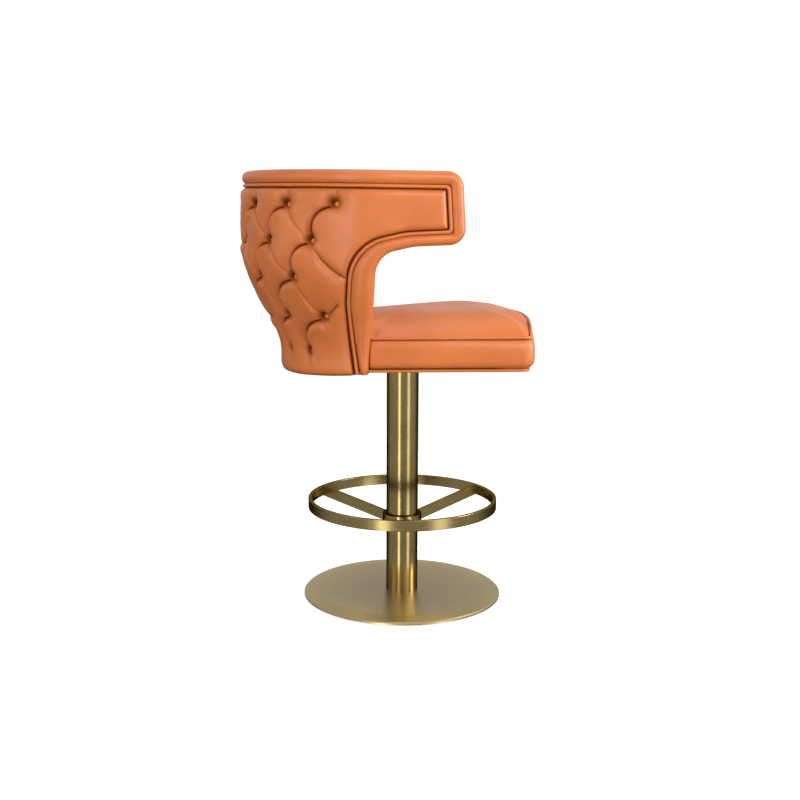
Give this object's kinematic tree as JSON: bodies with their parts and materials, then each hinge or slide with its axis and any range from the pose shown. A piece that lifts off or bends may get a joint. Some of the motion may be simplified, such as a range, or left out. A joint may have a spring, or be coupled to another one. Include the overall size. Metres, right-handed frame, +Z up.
{
  "type": "bar stool with footrest",
  "caption": "Swivel counter stool with a tufted leather barrel back and arms, piped box seat, brass column, fixed foot ring and round weighted base.",
  "frame": {"origin": "on the floor under the centre of the column, in the underside of the base pad", "axes": "+Z up along the column, -Y the way the sitter faces, +X to the sitter's left"},
  "size_m": [0.578, 0.6255, 0.9564],
  "materials": {
    "antique_brass": "brushed antique brass, lacquered",
    "cast_iron": "machined, oiled",
    "plated_steel": "zinc plated",
    "bush_polymer": "natural acetal",
    "pad_rubber": "matt black",
    "plywood": "raw birch plywood",
    "hardwood": "raw beech",
    "black_fabric": "non-woven cambric",
    "tan_leather": "smooth tan-orange leather, soft sheen",
    "leather_piping": "smooth tan-orange leather wrapped on cord"
  },
  "bodies": {
    "pedestal": {"ballast_plate": "cast_iron", "base_cover": "antique_brass", "base_screws": "plated_steel", "bearing_housing": "plated_steel", "column_foot_plug": "plated_steel", "column_tube": "antique_brass", "floor_pad": "pad_rubber", "footrest_hub": "antique_brass", "footrest_ring": "antique_brass", "footrest_set_screws": "plated_steel", "footrest_spoke_1": "antique_brass", "footrest_spoke_2": "antique_brass", "footrest_spoke_3": "antique_brass", "lower_bush": "bush_polymer", "thrust_washer": "bush_polymer", "upper_bush": "bush_polymer"},
    "seat": {"swivel_spindle": "plated_steel", "spindle_washer": "plated_steel", "retaining_ring": "plated_steel", "swivel_plate": "plated_steel", "mount_bolts": "plated_steel", "tee_nuts": "plated_steel", "seat_board": "plywood", "seat_rail_front": "hardwood", "seat_rail_rear": "hardwood", "seat_rail_left": "hardwood", "seat_rail_right": "hardwood", "dust_cover": "black_fabric", "seat_cushion": "tan_leather", "seat_top_welt": "leather_piping", "seat_bottom_welt": "leather_piping", "back_shell": "plywood", "back_bolts": "plated_steel", "back_border_roll": "tan_leather", "back_outer_pad": "tan_leather", "back_inner_pad": "tan_leather", "back_outer_welt": "leather_piping", "back_inner_welt": "leather_piping", "tufting_buttons": "tan_leather"}
  },
  "joints": [
    {"name": "seat_swivel", "type": "hinge", "parent": "pedestal", "child": "seat", "pos_m": [0, 0, 0.556], "axis": [0, 0, 1], "continuous": true}
  ]
}
